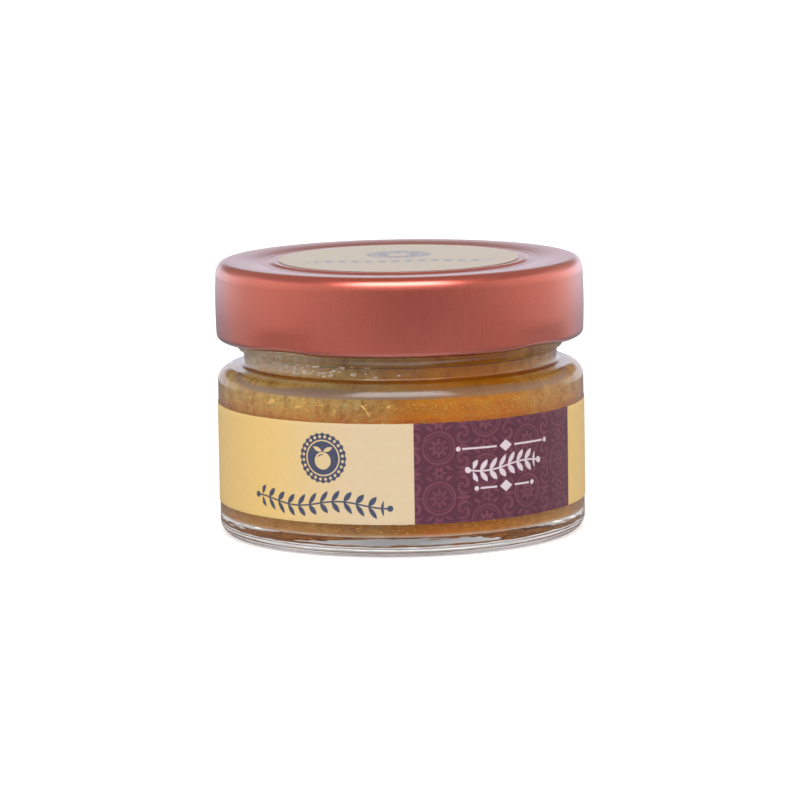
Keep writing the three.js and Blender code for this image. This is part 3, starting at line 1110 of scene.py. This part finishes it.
class JAR_OT_fruit(bpy.types.Operator):
    """Scatter shreds of peel, flecks of pulp and pockets of air against the glass"""

    bl_idname = "jar.fruit"
    bl_label = "Peel, pulp and air"

    def execute(self, context):
        jar = context.scene.marmalade_jar
        rng = np.random.default_rng(BIT_SEED)
        peel = soft_fruit("candied_peel", jar.peel_colour, scale=420.0)
        pulp = soft_fruit("pulp", jar.pulp_colour, scale=700.0)
        kinds = (
            ("peel_shreds", jar.shred_count, PEEL_BITS, peel),
            ("pulp_flecks", jar.fleck_count, PULP_BITS, pulp),
            ("air_pockets", jar.air_count, AIR_BITS, trapped_air(jar)),
        )
        for name, count, kind, material in kinds:
            grid = scattered(rng, count, jar, **kind)
            place(to_mesh(name, grid, swept_tubes(grid), material, smooth=80.0), "marmalade")
        return {"FINISHED"}


class JAR_OT_lid(bpy.types.Operator):
    """Press the twist-off lid"""

    bl_idname = "jar.lid"
    bl_label = "Lid"

    def execute(self, context):
        jar = context.scene.marmalade_jar
        points, faces = turned(refined(lid_profile(), longest=1.2 * MM), jar.turn_steps, press_lugs)
        piece = to_mesh("lid_pressing", points, faces, lid_lacquer(jar), smooth=50.0)
        place(piece, "lid_lacquer", "lid")
        return {"FINISHED"}


class JAR_OT_label(bpy.types.Operator):
    """Wrap the printed label round the jar"""

    bl_idname = "jar.label"
    bl_label = "Wrap label"

    def execute(self, context):
        grid = label_shell()
        material = label_print(context.scene.marmalade_jar)
        piece = to_mesh("label_paper", grid, swept_tubes(grid), material)
        place(piece, "label_paper", "wrap_label")
        return {"FINISHED"}


class JAR_OT_sticker(bpy.types.Operator):
    """Stick the round sticker on the lid"""

    bl_idname = "jar.sticker"
    bl_label = "Lid sticker"

    def execute(self, context):
        jar = context.scene.marmalade_jar
        points, faces = turned(refined(sticker_profile(), longest=2.0 * MM), jar.turn_steps)
        piece = to_mesh("sticker_paper", points, faces, sticker_print(jar))
        place(piece, "sticker_paper", "lid_sticker")
        return {"FINISHED"}


# Stage

WHITE = (1.0, 1.0, 1.0, 1.0)
CAMERA_PLACE = Vector((0.0, -0.8, 0.13868))
CAMERA_AIM = Vector((-0.00019, 0.0, 0.0235))
CAMERA_ROLL = -0.0163
CAMERA_LENS = 199.35
FLOOR_HALF = 4.0
FLOOR_GLOW = 0.55
FLOOR_TONE = 0.6
LIGHT_BOUNCES = 24

# Strengths and tints of the light
KEY_LIGHT = 6.35
SIDE_LIGHT = 1.03
BACK_LIGHT = 0.78
TOP_LIGHT = 0.25
ROOM_LIGHT = 0.25
FLOOR_SHEEN = 0.55
FRONT_SHEEN = 0.44
BACKDROP_LIGHT = 0.46
SIDE_TINT = (1.0, 0.955, 0.90, 1.0)
BACK_TINT = (0.95, 0.98, 1.12, 1.0)
WARM_TINT = (1.08, 0.72, 0.56, 1.0)
BACKDROP_TINT = (1.0, 0.975, 0.985, 1.0)

# Directions of the light in degrees, round from the front or up from level: ramps and one band
SIDE_TURN = 7.0
KEY_AROUND = (46.0, 28.0)
KEY_BOTTOM = (15.0, 42.0)
KEY_TOP = (75.0, 57.0)
SIDE_FRONT = (0.0, 100.0)
SIDE_BACK = (173.0, 98.0)
SIDE_BOTTOM = (-32.0, 12.0)
SIDE_TOP = (40.0, 16.0)
BACK_AROUND = (100.0, 140.0)
BACK_BAND = (-6.0, 11.0, 2.0)
TOP_UP = (12.0, 35.0)
SHEEN_DOWN = (-12.0, -40.0)
FRONT_AROUND = (75.0, 25.0)
FRONT_DOWN = (12.0, -34.0)
BACKDROP_AROUND = (100.0, 125.0)
BACKDROP_SIDES = (178.0, 150.0)
SIDE_TINTED = (15.0, 75.0)
BACK_TINTED = (115.0, 155.0)
WARM_UP = (11.0, 15.0)


def studio_world():
    """Soft white room: a front softbox, bright sides and a pale back wall.

    Each light is a product of soft ramps over the direction, and their sum lights the room. Through the
    glass a grey backdrop is seen, and beside the jar plain white.
    """
    world = bpy.data.worlds.new("studio")
    world.use_nodes = True
    tree = world.node_tree
    background = tree.nodes["Background"]
    x, y, z = split_axes(tree, tree.nodes.new("ShaderNodeTexCoord").outputs["Generated"])
    azimuth = x.math("ARCTAN2", y * -1.0) * (180.0 / pi)
    around, aside = abs(azimuth), abs(azimuth - SIDE_TURN)
    rise = z.math("ARCSINE") * (180.0 / pi)
    key = ramped(around, *KEY_AROUND) * ramped(rise, *KEY_BOTTOM) * ramped(rise, *KEY_TOP)
    sides = ramped(aside, *SIDE_FRONT) * ramped(aside, *SIDE_BACK)
    sides = sides * ramped(rise, *SIDE_BOTTOM) * ramped(rise, *SIDE_TOP)
    back = ramped(around, *BACK_AROUND) * window(rise, *BACK_BAND)
    front = ramped(around, *FRONT_AROUND) * ramped(rise, *FRONT_DOWN)
    light = key * KEY_LIGHT + sides * SIDE_LIGHT + back * BACK_LIGHT
    light = light + ramped(rise, *TOP_UP) * TOP_LIGHT + ROOM_LIGHT
    light = light + ramped(rise, *SHEEN_DOWN) * FLOOR_SHEEN + front * FRONT_SHEEN
    path = tree.nodes.new("ShaderNodeLightPath")
    through = Field(tree, path.outputs["Is Transmission Ray"]) * ramped(around, *BACKDROP_AROUND)
    camera = Field(tree, path.outputs["Is Camera Ray"])
    hidden = camera.high(through) * -1.0 + 1.0
    behind = ramped(around, *BACK_TINTED)
    tint = between(ramped(around, *SIDE_TINTED), WHITE, SIDE_TINT)
    tint = between(behind, tint, BACK_TINT)
    tint = between(behind * ramped(rise, *WARM_UP), tint, WARM_TINT)
    tint = between(through, tint, BACKDROP_TINT)
    tint = between(camera, tint, WHITE)
    feed(background.inputs["Color"], tint)
    backdrop = through * (ramped(around, *BACKDROP_SIDES) * 0.6 + 0.7) * BACKDROP_LIGHT
    feed(background.inputs["Strength"], light * hidden + backdrop + camera)
    bpy.context.scene.world = world


class JAR_OT_stage(bpy.types.Operator):
    """Set the floor, the studio light and the camera"""

    bl_idname = "jar.stage"
    bl_label = "Stage"

    def execute(self, context):
        scene = context.scene
        corners = np.array([[-1, -1], [1, -1], [1, 1], [-1, 1]]) * FLOOR_HALF
        points = np.column_stack((corners, np.full(4, CAD_BOX[0][2])))
        material, _, _ = new_material(
            "pale_floor", Base_Color=rgba([FLOOR_TONE] * 3), Roughness=0.7, Specular_IOR_Level=0.2,
            Emission_Color=WHITE, Emission_Strength=FLOOR_GLOW,
        )
        floor = to_mesh("floor", points, [[0, 1, 2, 3]], material)
        floor.visible_glossy = False
        studio_world()
        camera = bpy.data.objects.new("camera", bpy.data.cameras.new("camera"))
        camera.data.lens = CAMERA_LENS
        turn = (CAMERA_AIM - CAMERA_PLACE).to_track_quat("-Z", "Y").to_matrix().to_4x4()
        roll = Matrix.Rotation(CAMERA_ROLL, 4, "Z")
        camera.matrix_world = Matrix.Translation(CAMERA_PLACE) @ turn @ roll
        scene.collection.objects.link(camera)
        scene.camera = camera
        scene.view_settings.view_transform = "Standard"
        scene.cycles.max_bounces = LIGHT_BOUNCES
        scene.cycles.glossy_bounces = LIGHT_BOUNCES
        scene.cycles.transmission_bounces = LIGHT_BOUNCES
        return {"FINISHED"}


class JAR_PT_panel(bpy.types.Panel):
    """Lists the steps that build the jar"""

    bl_idname = "JAR_PT_panel"
    bl_label = "Marmalade jar"
    bl_space_type = "VIEW_3D"
    bl_region_type = "UI"
    bl_category = "Jar"

    def draw(self, context):
        jar = context.scene.marmalade_jar
        for name in jar.bl_rna.properties.keys():
            if name not in {"rna_type", "name"}:
                self.layout.prop(jar, name)
        for operator in STEPS:
            self.layout.operator(operator.bl_idname)


STEPS = (
    JAR_OT_glass, JAR_OT_marmalade, JAR_OT_fruit, JAR_OT_lid, JAR_OT_label, JAR_OT_sticker, JAR_OT_stage,
)
CLASSES = (JarSettings, *STEPS, JAR_PT_panel)


def register():
    """Makes the settings, the steps and the panel known to Blender."""
    for item in CLASSES:
        bpy.utils.register_class(item)
    bpy.types.Scene.marmalade_jar = PointerProperty(type=JarSettings)


def unregister():
    """Takes them away again, last first."""
    del bpy.types.Scene.marmalade_jar
    for item in reversed(CLASSES):
        bpy.utils.unregister_class(item)


def main():
    """Builds the jar step by step."""
    register()
    bpy.ops.jar.glass()
    bpy.ops.jar.marmalade()
    bpy.ops.jar.fruit()
    bpy.ops.jar.lid()
    bpy.ops.jar.label()
    bpy.ops.jar.sticker()
    bpy.ops.jar.stage()


if __name__ == "__main__":
    main()
